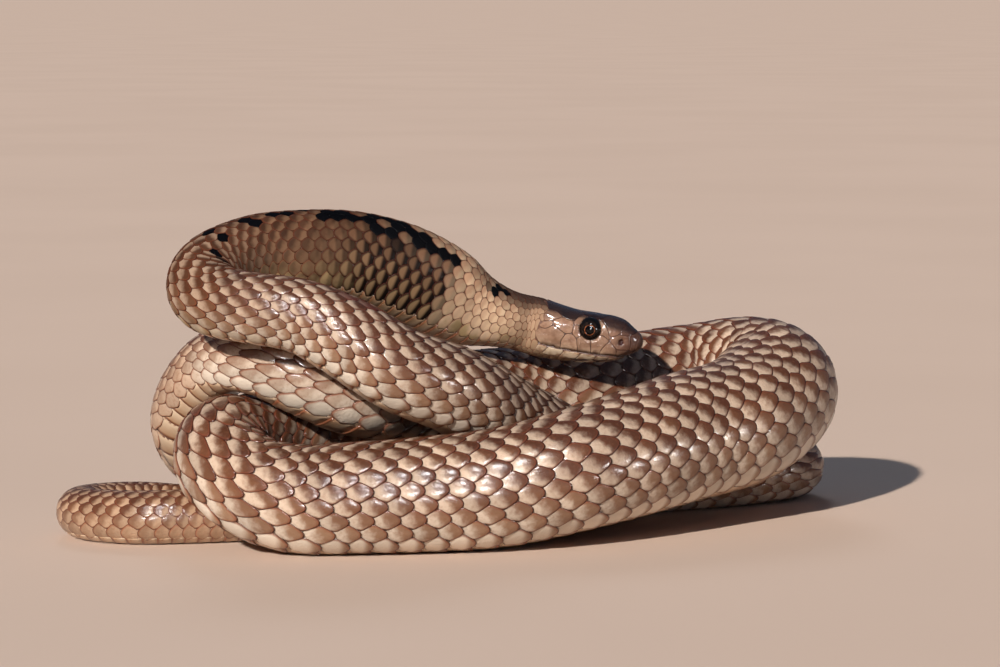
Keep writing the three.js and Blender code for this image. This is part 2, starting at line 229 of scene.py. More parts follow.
def head_width(behind, column):
    """A size of the head by its distance behind the snout, rounded off at the tip."""
    root = np.sqrt(HEAD[:, 0])
    where = np.interp(np.sqrt(np.maximum(behind, 0)), root, np.arange(len(root)))
    return smoothly(HEAD[:, column], np.atleast_1d(where)).reshape(np.shape(behind))


def head_point(behind, turn):
    """A point of the bare head by its distance behind the snout and its angle from the crown."""
    def square(v):
        return np.sign(v) * np.abs(v) ** 0.8

    across = -head_width(behind, 1) * square(np.sin(turn))
    rise = square(np.cos(turn))
    up = np.where(rise > 0, head_width(behind, 2), head_width(behind, 3)) * rise
    depth = np.minimum(SHIELD_DEPTH, 0.2 * head_width(behind, 1))
    shrink = 1 - depth / head_width(behind, 1)
    return (snout - forward * np.asarray(behind)[..., None]
            + right * (across * shrink)[..., None] + above * (up * shrink)[..., None])


def bump(value, middle, spread):
    return np.exp(-(((value - middle) / spread) ** 2))


# The line of the closed mouth on the side of the head: behind the snout and height.
MOUTH = np.array([(3.5, -8), (3.7, -5.4), (4.2, -5.0), (6.6, -5.2), (9.2, -5.35), (12.4, -5.7),
                  (15.3, -5.85), (19.6, -5.95), (25.3, -5.95), (29.5, -5.8), (32.6, -5.4)])
EYE = (17.2, 1.9)        # middle of the eye on the side of the head
EYE_RING = 3.1           # radius of the opening that the eye shows through
NOSTRIL = (6.7, -0.4)


def from_line(behind, up, line):
    """Distance from a line on the side of the head."""
    nearest = np.full(np.shape(behind), 99.0)
    for (b0, u0), (b1, u1) in zip(line[:-1], line[1:]):
        back, rise = b1 - b0, u1 - u0
        share = ((behind - b0) * back + (up - u0) * rise) / (back**2 + rise**2)
        share = np.clip(share, 0, 1)
        away = np.hypot(behind - b0 - share * back, up - u0 - share * rise)
        nearest = np.minimum(nearest, away)
    return nearest


def head_relief(behind, up, side):
    """How far the flesh of the head stands out of, or sinks into, its plain section."""
    on_side = np.clip((side - 1) / 1.5, 0, 1)
    from_eye = np.hypot(behind - EYE[0], up - EYE[1])
    over_ridge = up - 1.9 - 0.42 * (behind - 7.5)
    past_nostril = behind - NOSTRIL[0] + 0.25 * (up - NOSTRIL[1])
    # the brow, the ridge before it, the jaw muscle, the hollow before the eye, the groove round
    # the eye, the nostril and the slit of the mouth
    stands = 0.45 * bump(behind, 16.2, 4.2) * bump(up, 5.3, 0.9)
    stands += 0.22 * bump(behind, 11.5, 3) * bump(over_ridge, 0, 0.7)
    stands += 0.4 * bump(behind, 28, 5) * bump(up, -0.8, 3.2)
    stands -= 0.3 * bump(behind, 11.2, 2.2) * bump(up, 0.6, 1.3)
    stands -= 0.75 * bump(from_eye, 3.15, 0.36)
    stands -= 1.3 * bump(past_nostril, 0, 0.7) * bump(up, NOSTRIL[1], 0.95)
    return stands * on_side - 0.55 * bump(from_line(behind, up, MOUTH), 0, 0.24)


def outward(rows):
    """The outward direction at each point of closed rings of points."""
    around = np.roll(rows, -1, axis=1) - np.roll(rows, 1, axis=1)
    direction = unit(np.cross(np.gradient(rows, axis=0), around))
    away = np.sum(direction * (rows - rows.mean(axis=1, keepdims=True)))
    return direction if away > 0 else -direction


HEAD_SIDES = 192
HEAD_RINGS = 146
FACE_END = 33.4          # the finely made part of the head reaches this far behind the snout
head_behind = FACE_END * (np.arange(HEAD_RINGS) / (HEAD_RINGS - 1)) ** 1.5
head_turn = 2 * np.pi * np.arange(HEAD_SIDES) / HEAD_SIDES
head_grid = np.meshgrid(head_behind, head_turn, indexing="ij")
head_rows = head_point(*head_grid)
from_snout = head_rows - snout
relief = head_relief(-(from_snout @ forward), from_snout @ above, np.abs(from_snout @ right))
head_rows = head_rows + outward(head_rows) * relief[..., None]

# The surface that the scales grow on starts under the throat and is drawn out to the tip of the
# tail; the skin takes it over where the finely made part of the head ends.
THROAT = -24             # its first ring, by distance behind the nape
JOIN_ROUNDS = 24         # rounds of smoothing where the head goes over into the neck
surface_at = np.arange(THROAT, BODY_LENGTH, STEP)
on_head = surface_at < STEP / 2
turn = 2 * np.pi * np.arange(SIDES) / SIDES
nape_rows = head_point(*np.meshgrid(surface_at[on_head] + HEAD_LENGTH, turn, indexing="ij"))
surface = np.vstack([nape_rows, body_surface(surface_at[~on_head])])
join = int(np.sum(on_head))
for _ in range(JOIN_ROUNDS):
    near_join = surface[join - 5:join + 18]
    near_join[1:-1] = (near_join[:-2] + 2 * near_join[1:-1] + near_join[2:]) / 4
surface_out = outward(surface)


def new_mesh(name, points, faces):
    """A mesh object from points in millimetres and arrays of faces."""
    mesh = bpy.data.meshes.new(name)
    mesh.vertices.add(len(points))
    mesh.vertices.foreach_set("co", (np.asarray(points) * MM).astype(np.float32).ravel())
    corners = np.concatenate([np.asarray(f, np.int32).ravel() for f in faces])
    sizes = np.concatenate([np.full(len(f), np.asarray(f).shape[1], np.int32) for f in faces])
    mesh.loops.add(len(corners))
    mesh.loops.foreach_set("vertex_index", corners)
    mesh.polygons.add(len(sizes))
    starts = np.concatenate([[0], np.cumsum(sizes)[:-1]])
    mesh.polygons.foreach_set("loop_start", starts.astype(np.int32))
    mesh.polygons.foreach_set("loop_total", sizes)
    mesh.polygons.foreach_set("use_smooth", np.full(len(sizes), True))
    mesh.update(calc_edges=True)
    piece = bpy.data.objects.new(name, mesh)
    bpy.context.scene.collection.objects.link(piece)
    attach(piece, "root")
    return piece


def tube(rows, start, sides):
    """Quads between neighbouring rings of a tube whose first vertex has number start."""
    ring = np.arange(sides)
    first = start + sides * np.arange(rows - 1)[:, None]
    a, b = first + ring, first + np.roll(ring, -1)
    return np.stack([a, b, b + sides, a + sides], axis=-1).reshape(-1, 4)


def fan(ring, tip):
    """Triangles from the sides of a closed ring of vertices to one vertex."""
    return np.stack([ring, np.roll(ring, -1), np.full(len(ring), tip)], axis=1)


body_first = int(np.argmax(surface_at > FACE_END + 0.3 - HEAD_LENGTH))
skin_rows, skin_at = surface[body_first::2, ::2], surface_at[body_first::2]
skin_sides = SIDES // 2
skin_turn = 2 * np.pi * np.arange(skin_sides) / skin_sides
tail_end = skin_rows[-1].mean(axis=0)
tail_end = tail_end + unit(tail_end - skin_rows[-3].mean(axis=0)) * 0.9
skin_points = np.vstack([head_rows.reshape(-1, 3), skin_rows.reshape(-1, 3),
                         [snout + forward * 0.1], [tail_end]])
body_start = head_behind.size * HEAD_SIDES
each = HEAD_SIDES // skin_sides
corner = np.arange(skin_sides)
head_start = body_start - HEAD_SIDES
last_head = head_start + corner * each
near, beyond = body_start + corner, body_start + (corner + 1) % skin_sides
joining = [np.stack([head_start + (corner * each + k + 1) % HEAD_SIDES,
                     near if k < each // 2 else beyond, last_head + k], axis=1)
           for k in range(each)]
joining.append(np.stack([beyond, near, last_head + each // 2], axis=1))
tail_ring = body_start + skin_sides * (len(skin_rows) - 1) + corner
skin_faces = [tube(head_behind.size, 0, HEAD_SIDES), tube(len(skin_rows), body_start, skin_sides),
              np.vstack(joining), fan(np.arange(HEAD_SIDES)[::-1], len(skin_points) - 2),
              fan(tail_ring, len(skin_points) - 1)]
skin = new_mesh("skin", skin_points, skin_faces)
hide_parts(*[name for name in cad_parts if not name.startswith("eye")])

# How far the back is rolled round the body, in degrees by distance behind the nape: a coiled
# snake lies over on its side here and there.
ROLL = np.array([
    (0, 0), (130, 0), (190, -4), (240, 6), (640, 9), (690, 12), (760, 9), (800, 4), (860, 0),
    (1000, -12), (1022, -20), (1045, -8), (1060, 0), (1400, 0),
], float)

# The markings, which skin and scales share. Black blotches on the neck: distance behind the
# nape, degrees from the middle of the back (right side negative), half length, half width.
BLOTCHES = [
    (108, -1, 2.2, 8), (107.5, -30, 2.2, 8), (115.5, -34, 2.2, 8), (119.3, -32, 1.8, 8),
    (98.4, -15, 2.8, 8), (96, -30, 2.4, 8), (88.8, -16, 3.2, 8), (80, -1, 3.5, 8),
    (74, -32, 3.4, 9), (70.5, -22, 4.2, 12), (65, -28, 2.6, 8), (56.5, -16, 4.6, 8),
    (58.5, -45, 3.4, 8), (53, -34, 3, 8), (48, -32, 3.2, 9), (52.8, -58, 2, 8),
    (46.5, -44, 3.2, 10), (42, -46, 3.2, 10), (38.5, -44, 2.6, 9), (18, -40, 2.4, 8),
    (12.8, -34, 3, 8), (110, 28, 2.4, 8), (92, 34, 3.4, 9), (84, 14, 2.6, 8), (66, 30, 4.2, 12),
    (57, 46, 2.6, 9), (47, 30, 3.4, 10), (39, 42, 2.8, 9), (22, 32, 3, 8), (13, 14, 2.2, 8),
]


def markings(distance, degrees):
    """Share of black, of dark scale bases and of the neck's tan at places on the body."""
    black = np.zeros(np.shape(distance))
    for s, d, half_length, half_width in BLOTCHES:
        inside = ((distance - s) / half_length) ** 2 + ((degrees - d) / half_width) ** 2
        black = np.maximum(black, np.clip((1.25 - inside) * 4, 0, 1))
    stained = np.clip((distance - 29) / 9, 0, 1) * np.clip((86 - distance) / 22, 0, 1)
    stained = stained * (0.45 + 0.55 * np.clip((np.abs(degrees) - 20) / 50, 0, 1))
    tan = np.clip((165 - distance) / 70, 0, 1)
    return np.stack([black, stained, tan], axis=-1)


def put(piece, name, *values):
    attribute = piece.data.attributes.new(name, "FLOAT_VECTOR", "POINT")
    attribute.data.foreach_set("vector", np.stack(values, axis=-1).astype(np.float32).ravel())


def rolled(distance):
    return np.interp(distance, *ROLL.T)


skin_s = np.concatenate([(head_grid[0] - HEAD_LENGTH).ravel(), np.repeat(skin_at, skin_sides),
                         [-HEAD_LENGTH, BODY_LENGTH]])
skin_degrees = np.concatenate([np.degrees(head_grid[1]).ravel(),
                               np.tile(np.degrees(skin_turn), len(skin_at)), [0, 0]])
skin_degrees = (skin_degrees - rolled(skin_s) + 180) % 360 - 180
put(skin, "body", np.abs(skin_degrees) / 180, skin_s, np.clip(-skin_s / 6, 0, 1))
put(skin, "mark", *markings(skin_s, skin_degrees).T)


def paint(red, green, blue):
    """A colour given in the everyday 0 to 255 numbers."""
    return tuple(c / 255 / 12.92 if c / 255 <= 0.04045 else ((c / 255 + 0.055) / 1.055) ** 2.4
                 for c in (red, green, blue)) + (1,)


def feed(socket, value):
    """Joins a socket to another's result, or gives it a number or a colour."""
    if isinstance(value, bpy.types.NodeSocket):
        tree.links.new(value, socket)
    else:
        socket.default_value = paint(*value) if isinstance(value, tuple) else value


def mix(share, a, b):
    """Colour a where share is 0 and b where it is 1."""
    node = tree.nodes.new("ShaderNodeMix")
    node.data_type = "RGBA"
    feed(node.inputs[0], share)
    feed(node.inputs[6], a)
    feed(node.inputs[7], b)
    return node.outputs[2]


def over(colour, *layers):
    """A colour with others laid over it in turn, each given as (share, colour)."""
    for share, top in layers:
        colour = mix(share, colour, top)
    return colour


def fade(value, low, high):
    """0 below low, 1 above high and smooth between."""
    node = tree.nodes.new("ShaderNodeMapRange")
    node.interpolation_type = "SMOOTHSTEP"
    node.inputs["From Min"].default_value = low
    node.inputs["From Max"].default_value = high
    tree.links.new(value, node.inputs["Value"])
    return node.outputs["Result"]


def sums(how, a, b):
    node = tree.nodes.new("ShaderNodeMath")
    node.operation = how
    feed(node.inputs[0], a)
    feed(node.inputs[1], b)
    return node.outputs[0]


def both(*shares):
    """The product of several shares."""
    result = shares[0]
    for share in shares[1:]:
        result = sums("MULTIPLY", result, share)
    return result


def less(share):
    return sums("SUBTRACT", 1, share)


def read(name):
    """The three numbers of a piece's attribute."""
    source = tree.nodes.new("ShaderNodeAttribute")
    source.attribute_name = name
    parts = tree.nodes.new("ShaderNodeSeparateXYZ")
    tree.links.new(source.outputs["Vector"], parts.inputs[0])
    return parts.outputs


def grain(size, detail=3):
    """Soft noise fixed to the object, with features about one metre over size across."""
    where = tree.nodes.new("ShaderNodeTexCoord")
    noise = tree.nodes.new("ShaderNodeTexNoise")
    noise.inputs["Scale"].default_value = size
    noise.inputs["Detail"].default_value = detail
    tree.links.new(where.outputs["Object"], noise.inputs["Vector"])
    return noise.outputs["Fac"]


def crinkle(size, height):
    """Tiny unevenness of the surface, which breaks up its highlights."""
    node = tree.nodes.new("ShaderNodeBump")
    node.inputs["Strength"].default_value = 1
    node.inputs["Distance"].default_value = height * MM
    tree.links.new(grain(size, 2), node.inputs["Height"])
    feed(shader.inputs["Normal"], node.outputs[0])


def start_material(name, roughness, coat, coat_roughness, specular=0.5):
    """A new material; the painting calls after this work on it."""
    global tree, shader
    material = bpy.data.materials.new(name)
    material.use_nodes = True
    tree = material.node_tree
    shader = tree.nodes["Principled BSDF"]
    for socket, value in (("Roughness", roughness), ("Coat Weight", coat),
                          ("Coat Roughness", coat_roughness), ("Specular IOR Level", specular)):
        shader.inputs[socket].default_value = value
    return material


skin_material = start_material("bare skin between the scales", 0.5, 0, 0.3)
from_back, _, on_head_share = read("body")
black, stained, neck = read("mark")
colour = over(mix(fade(from_back, 0.3, 0.75), (126, 86, 68), (190, 156, 128)),
              (fade(grain(260), 0.4, 0.7), (128, 88, 70)), (both(neck, 0.8), (124, 84, 58)),
              (stained, (50, 34, 28)), (on_head_share, (88, 56, 42)), (black, (20, 19, 26)))
feed(shader.inputs["Base Color"], colour)
crinkle(900, 0.03)
skin.data.materials.append(skin_material)

# ---- the eyes ----------------------------------------------------------------------------------
# Each is a glossy ball whose wet surface stands for the clear fixed spectacle: a near-black iris
# with a thin orange ring round a round pupil. It is set in the side of the head and stands out only
# by its curve.

EYE_BALL = 3.8
EYE_BACK = 17.1          # middle of the ball behind the tip of the snout
EYE_FROM_MIDDLE = 6.2
EYE_UP = 1.8

eye_material = start_material("wet dark eye", 0.03, 0, 0.02)
shader.inputs["IOR"].default_value = 1.36
from_axis = read("iris")[0]     # distance from the eye's axis
streaks = fade(grain(1500, 4), 0.35, 0.7)
ring_colour = mix(streaks, (150, 84, 48), (84, 48, 32))
iris_colour = mix(streaks, (20, 15, 13), (38, 28, 23))
# From the axis outwards: pupil, orange ring, iris and a black edge.
colour = over(mix(fade(from_axis, 1.42, 1.52), (5, 4, 4), ring_colour),
              (fade(from_axis, 1.6, 1.76), iris_colour), (fade(from_axis, 2.3, 3.1), (9, 7, 7)))
feed(shader.inputs["Base Color"], colour)

for name, side in (("eye_right", 1), ("eye_left", -1)):
    look = right * side
    middle = snout - forward * EYE_BACK + right * (EYE_FROM_MIDDLE * side) + above * EYE_UP
    level, circle = np.meshgrid(np.radians(np.arange(2, 180, 2)), np.radians(np.arange(0, 360, 5)),
                                indexing="ij")
    spread = np.cos(circle)[..., None] * forward + np.sin(circle)[..., None] * above
    balls = middle + EYE_BALL * (np.cos(level)[..., None] * look + np.sin(level)[..., None] * spread)
    poles = [middle + EYE_BALL * look, middle - EYE_BALL * look]
    points = np.vstack([balls.reshape(-1, 3), poles])
    sides = circle.shape[1]
    ring = np.arange(sides)
    last = sides * (len(level) - 1) + ring
    faces = [tube(len(level), 0, sides), fan(ring[::-1], len(points) - 2),
             fan(last, len(points) - 1)]
    if side > 0:
        faces = [f[:, ::-1] for f in faces]
    eye = new_mesh(name + "_ball", points, faces)
    radius = np.where(level < np.pi / 2, EYE_BALL * np.sin(level), EYE_BALL).ravel()
    radius = np.append(radius, [0, EYE_BALL])
    put(eye, "iris", radius, radius, radius)
    eye.data.materials.append(eye_material)
    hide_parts(name)

# ---- the shields of the head -------------------------------------------------------------------
# The head is covered by large smooth shields that meet along fine grooves. Each is a thin plate
# with a rounded edge, laid on the skin; every corner is shared by the shields that meet there.

# Corners by the view that shows them: from the side and from the front by height over the head's
# axis, from the top and from below by distance from its middle. The other number is the distance
# behind the snout or, from the front, from the middle.
CORNERS = {
    "side": {
        # mouth edge of the upper lip
        "m1": (4.3, -4.75), "m2": (7.6, -5.1), "m3": (12.7, -5.55), "m4": (15.4, -5.65),
        "m5": (19.6, -5.75), "m6": (25.2, -5.75), "m7": (29.6, -5.6), "m8": (31.9, -5.2),
        # lip shields
        "a2": (7.7, -3.0), "b2": (12.6, -4.2), "b3": (11.4, -2.1), "b4": (10.1, -0.6),
        "c1": (16.0, -2.6), "d1": (20.7, -1.6), "e1": (25.4, -3.4), "e2": (24.4, -0.9),
        "e3": (22.4, -0.5), "f1": (33.6, -3.3), "f2": (33.9, -2.0), "f3": (32.7, -0.5),
        "f4": (30.8, -0.6), "f5": (28.6, 1.1),
        # nose
        "n1": (9.4, -1.5), "n2": (10.3, 0.4), "n3": (7.7, 1.9), "n4": (4.4, 1.9), "n5": (3.6, -0.4),
        "n6": (3.8, -2.5),
        # round the eye
        "p1": (12.6, 0.7), "p2": (14.2, 5.25), "p3": (12.0, 3.4), "q1": (19.4, 5.35),
        "q2": (21.1, 4.9), "q3": (22.5, 3.3), "q4": (22.4, 2.2),
        # temples
        "t1": (24.4, 3.6), "t2": (26.0, 3.9), "t3": (29.1, 2.5), "t4": (31.8, 1.6),
        "t5": (33.1, 0.3), "t6": (28.4, 5.0), "t7": (31.3, 5.3), "t8": (32.4, 3.4),
        # crown
        "r3": (2.5, -2.7), "r4": (2.0, -0.2),
        # mouth edge and lower edge of the lower lip
        "k2": (6.6, -5.5), "k3": (9.5, -5.75), "k4": (13.5, -6.1), "k5": (18.4, -6.2),
        "k6": (23.8, -6.25), "k7": (29.0, -6.1), "k8": (32.2, -5.8),
    },
    "front": {
        # crown
        "r1": (0, -3.6), "r2": (1.7, -3.6),
    },
    "top": {
        # crown
        "r5": (2.2, 1.6), "r6": (2.7, 0), "i1": (6.4, 0), "i2": (6.2, 2.6), "g1": (11.4, 0),
        "g2": (12.0, 2.7), "g3": (18.8, 2.3), "g4": (21.6, 0), "h1": (20.8, 3.9), "h2": (32.6, 3.2),
        "h3": (31.0, 0),
    },
    "under": {
        # mouth edge and lower edge of the lower lip
        "k1": (4.6, 1.7), "l1": (6.2, 1.2), "l2": (7.6, 2.6), "l3": (10.4, 3.8), "l4": (14.4, 4.7),
        "l5": (20.0, 5.5), "l6": (25.4, 6.2), "l7": (30.6, 6.9), "l8": (33.2, 7.4),
        # chin
        "u1": (4.1, 0), "u2": (6.7, 0), "u3": (13.2, 0), "u4": (12.9, 3.0), "u5": (20.6, 0.9),
        "u6": (19.8, 4.0), "u7": (13.8, 0.7),
    },
}
for number, degrees in enumerate((-48, -20, 10, 45, 80, 110, 135, 160, 183, 207, 231, 255, 283)):
    around = math.radians(degrees)
    CORNERS["side"][f"o{number}"] = (EYE[0] + EYE_RING * math.cos(around),
                                     EYE[1] + EYE_RING * math.sin(around))
corner_at = {name: (view, place)
             for view, places in CORNERS.items() for name, place in places.items()}

# Each shield of a pair: its corners in order round it, how dark it is and how cream. A minus
# stands for the same corner on the other side.
PAIRED = {
    "lip_1": ("m1 m2 a2 n6", 0.1, 0.15), "lip_2": ("m2 m3 b2 b3 b4 n1 a2", 0.05, 0.15),
    "lip_3": ("m3 m4 c1 o11 o10 o9 p1 b4 b3 b2", 0, 0.1),
    "lip_4": ("m4 m5 d1 o0 o12 o11 c1", 0, 0.1), "lip_5": ("m5 m6 e1 e2 e3 d1", 0, 0.15),
    "lip_6": ("m6 m7 m8 f1 f2 f3 f4 f5 e2 e1", 0, 0.15),
    "nasal": ("n6 a2 n1 b4 n2 n3 n4 n5", 0.15, 0.05),
    "preocular": ("b4 p1 o9 o8 o7 o6 p2 p3 n2", 0.1, 0.1),
    "postocular_1": ("q1 o4 o3 o2 q4 q3 q2", 0.2, 0.05),
    "postocular_2": ("o2 o1 o0 d1 e3 q4", 0, 0.1),
    "temporal_1": ("q4 q3 t1 t2 t3 f5 e2 e3", 0.05, 0.1),
    "temporal_2": ("f5 t3 t4 t5 f3 f4", 0.1, 0.1), "temporal_3": ("t2 t6 t7 t8 t4 t3", 0.35, 0.05),
    "internasal": ("r6 r5 n4 n3 i2 i1", 0.85, 0), "prefrontal": ("i1 i2 n3 n2 p3 p2 g2 g1", 0.9, 0),
    "brow": ("g2 p2 o6 o5 o4 q1 h1 g3", 1, 0),
    "parietal": ("g4 g3 h1 q1 q2 q3 t1 t2 t6 t7 h2 h3", 0.95, 0),
    "loreal_edge": ("r5 r4 r3 n6 n5 n4", 0.3, 0.1), "lower_lip_1": ("k1 k2 l2 l1", 0, 0.8),
    "lower_lip_2": ("k2 k3 l3 l2", 0, 0.9), "lower_lip_3": ("k3 k4 l4 l3", 0, 0.8),
    "lower_lip_4": ("k4 k5 l5 l4", 0, 1), "lower_lip_5": ("k5 k6 l6 l5", 0, 0.9),
    "lower_lip_6": ("k6 k7 l7 l6", 0, 1), "lower_lip_7": ("k7 k8 l8 l7", 0, 0.8),
    "chin_1": ("u2 l1 l2 l3 u4 u7 u3", 0, 1), "chin_2": ("u7 u4 l4 u6 u5", 0, 1),
}
SINGLE = {
    "rostral": ("r1 r2 r3 r4 r5 r6 -r5 -r4 -r3 -r2", 0.45, 0.1),
    "frontal": ("g1 g2 g3 g4 -g3 -g2", 1, 0), "mental": ("u1 k1 l1 u2 -l1 -k1", 0, 0.7),
}

NECK_RINGS = 12          # rings of the body that the hindmost shields reach over
head_parts = (skin_faces[0], skin_faces[1][:skin_sides * NECK_RINGS], skin_faces[2], skin_faces[3])
head_faces = np.vstack([np.vstack([f[:, [0, 1, 2]], f[:, [0, 2, 3]]]) if f.shape[1] == 4 else f
                        for f in head_parts])
head_tree = BVHTree.FromPolygons([Vector(p) for p in skin_points], head_faces.tolist())
skin_normals = np.empty(len(skin_points) * 3, np.float32)
skin.data.vertex_normals.foreach_get("vector", skin_normals)
skin_normals = skin_normals.reshape(-1, 3)
VIEWS = {"side": (right, lambda a, b: snout - forward * a + above * b),
         "top": (above, lambda a, b: snout - forward * a + right * b),
         "under": (-above, lambda a, b: snout - forward * a + right * b),
         "front": (forward, lambda a, b: snout - forward * 5 + right * a + above * b)}


def corner_place(name):
    """Where a corner lies on the skin, in millimetres."""
    view, place = corner_at[name.strip("-")]
    towards, level = VIEWS[view]
    start = level(*place) + towards * 30
    hit = head_tree.ray_cast(Vector(start), Vector(-towards))[0]
    spot = np.array(hit if hit else head_tree.find_nearest(Vector(start - towards * 24))[0])
    return spot - 2 * ((spot - snout) @ right) * right if name[0] == "-" else spot


GROOVE = 0.04            # half the groove between two shields
EDGE_STEP = 0.45         # between two points of a shield's edge
# A shield's section: distance inside its edge and height over the skin. Its inner rings stand at
# shares of the rest of the way to its middle, on the height of its top.
SHIELD_SECTION = [(0, -0.3), (0, 0.16), (0.05, 0.215), (0.15, 0.245), (0.4, 0.26)]
INNER_RINGS = (0.35, 0.6, 0.82)
SHIELD_TOP = 0.265


def head_plate(corners):
    """Places, distance from the edge and faces of a plate between these corners."""
    outline = np.array([corner_place(name) for name in corners])
    loop = []
    for a, b in zip(outline, np.roll(outline, -1, axis=0)):
        steps = max(1, round(np.linalg.norm(b - a) / EDGE_STEP))
        loop += [a + (b - a) * k / steps for k in range(steps)]
    loop = np.array(loop)
    for _ in range(2):
        loop = (np.roll(loop, 1, axis=0) + 2 * loop + np.roll(loop, -1, axis=0)) / 4
    middle = loop.mean(axis=0)
    facing = np.sum(np.cross(loop - middle, np.roll(loop, -1, axis=0) - middle), axis=0)
    if facing @ (middle - (snout - forward * 16)) < 0:
        loop, facing = loop[::-1], -facing
    inward = unit(np.cross(facing, np.roll(loop, -1, axis=0) - np.roll(loop, 1, axis=0)))
    loop = loop + inward * GROOVE
    reach = np.linalg.norm(loop - middle, axis=1, keepdims=True)
    rings = [(loop + (middle - loop) * np.minimum(away / reach, away), height, away)
             for away, height in SHIELD_SECTION]
    inner = rings[-1][0]
    rings += [(inner + (middle - inner) * share, SHIELD_TOP, 1) for share in INNER_RINGS]
    places = np.vstack([ring for ring, _, _ in rings] + [[middle]])
    heights = np.append(np.repeat([h for _, h, _ in rings], len(loop)), SHIELD_TOP)
    from_edge = np.append(np.repeat([d for _, _, d in rings], len(loop)), 1)
    for k, place in enumerate(places):
        spot, _, index, _ = head_tree.find_nearest(Vector(place))
        direction = skin_normals[head_faces[index]].sum(axis=0)
        places[k] = np.array(spot) + unit(direction) * heights[k]
    ring = np.arange(len(loop))
    cap = fan(len(loop) * (len(rings) - 1) + ring, len(places) - 1)
    return places, from_edge, [tube(len(rings), 0, len(loop)), cap, ring[::-1][None]]


def bake_map(piece, u, v):
    """The piece's own flat map, each scale a patch at its root's place on the unrolled skin."""
    layer = piece.data.uv_layers.new(name="OFBake")
    corner = np.empty(len(piece.data.loops), np.int32)
    piece.data.loops.foreach_get("vertex_index", corner)
    flat = np.stack([u.ravel()[corner], v.ravel()[corner]], axis=1)
    layer.data.foreach_set("uv", flat.astype(np.float32).ravel())


def shield_piece(name, shields, seed):
    """One piece of the coat from a list of (corners, dark, cream)."""
    chance = np.random.default_rng(seed)
    places, looks, faces, start = [], [], [], 0
    for corners, dark, cream in shields:
        spots, from_edge, plate = head_plate(corners)
        same = np.ones(len(spots))
        tone = chance.uniform(0, 1)
        places.append(spots)
        looks.append(np.stack([from_edge, same * dark, same * cream, same * tone], axis=1))
        faces += [part + start for part in plate]
        start += len(spots)
    places, looks = np.vstack(places), np.vstack(looks)
    piece = new_mesh(name, places, faces)
    away = places - snout
    behind, up, side = -(away @ forward), away @ above, away @ right
    put(piece, "shield", *looks[:, :3].T)
    put(piece, "head", behind, up, looks[:, 3])
    around = np.arctan2(side, up)
    spread = np.sqrt(np.clip(behind + 1.5, 0.1, None) / 45) / 2
    bake_map(piece, 0.5 + spread * np.sin(around), 0.5 + spread * np.cos(around))
    return piece


def other_side(corners):
    return [c[1:] if c[0] == "-" else "-" + c for c in corners][::-1]


def off(value, middle, spread):
    """The square of how far a value is from a middle, in spreads."""
    return sums("POWER", sums("DIVIDE", sums("SUBTRACT", value, middle), spread), 2)


def paint_each(colour, chance, spread, least):
    """Gives the material its colour, a little lighter or darker on each scale by its chance."""
    tone = tree.nodes.new("ShaderNodeHueSaturation")
    feed(tone.inputs["Color"], colour)
    feed(tone.inputs["Value"], sums("ADD", both(chance, spread), least))
    feed(shader.inputs["Base Color"], tone.outputs["Color"])


# A brown cheek, darker at the snout and mottled; a near-black crown, that begins at a line over
# the eye; cream on the lip shields and the chin; dark seams, and painted shade in the nostril.
shield_material = start_material("glossy head shields", 0.5, 0.9, 0.14, 0.1)
from_edge, how_dark, how_cream = read("shield")
behind, up, chance = read("head")
cheek = mix(fade(up, -6.2, -2.5), (166, 136, 112), (142, 106, 84))
cheek = mix(fade(behind, 2, 13), (66, 36, 30), cheek)
cheek = mix(both(fade(grain(420), 0.4, 0.72), 0.55), cheek, (108, 76, 58))
# The crown is near-black brown; the faint blue in its darker tone is painted reflection of the sky.
crown = mix(fade(grain(300), 0.35, 0.7), (38, 22, 20), (18, 14, 20))
line = sums("SUBTRACT", up, both(behind, 0.02))
dark = sums("MAXIMUM", both(how_dark, fade(line, 1.8, 3.9)), both(fade(line, 3.6, 5), 0.95))
cream = mix(fade(grain(420), 0.4, 0.66), (204, 180, 152), (150, 116, 90))
cream = mix(fade(behind, 6, 14), (140, 110, 88), cream)
seam = both(less(fade(from_edge, 0, 0.2)), 0.85)
# Painted shade: the nostril's opening is darkened as if shadowed inside.
nostril_shade = sums("ADD", off(behind, NOSTRIL[0], 0.85), off(up, NOSTRIL[1], 1.15))
nostril_shade = both(less(fade(nostril_shade, 0.5, 1.3)), 0.95)
colour = over(mix(dark, cheek, crown), (how_cream, cream), (seam, (66, 36, 26)),
              (nostril_shade, (46, 16, 13)))
paint_each(colour, chance, 0.24, 0.88)
crinkle(1300, 0.16)

upper, lower = [], []
for name, (corners, dark, cream) in PAIRED.items():
    target = lower if name.startswith(("lower", "chin")) else upper
    for names in (corners.split(), other_side(corners.split())):
        target.append((names, dark, cream))
for name, (corners, dark, cream) in SINGLE.items():
    (lower if name == "mental" else upper).append((corners.split(), dark, cream))
for name, shields, slot in (("head_shields", upper, "head_shields"),
                            ("jaw_shields", lower, "jaw_shields")):
    piece = shield_piece(name, shields, 11)
    piece.data.materials.append(shield_material)

# ---- the scales of the back and flanks ---------------------------------------------------------
# Seventeen rows of smooth overlapping scales, fewer on the tail. Each is a small domed plate,
# rooted in the skin, with its free end towards the tail; neighbouring rows are half a scale apart.

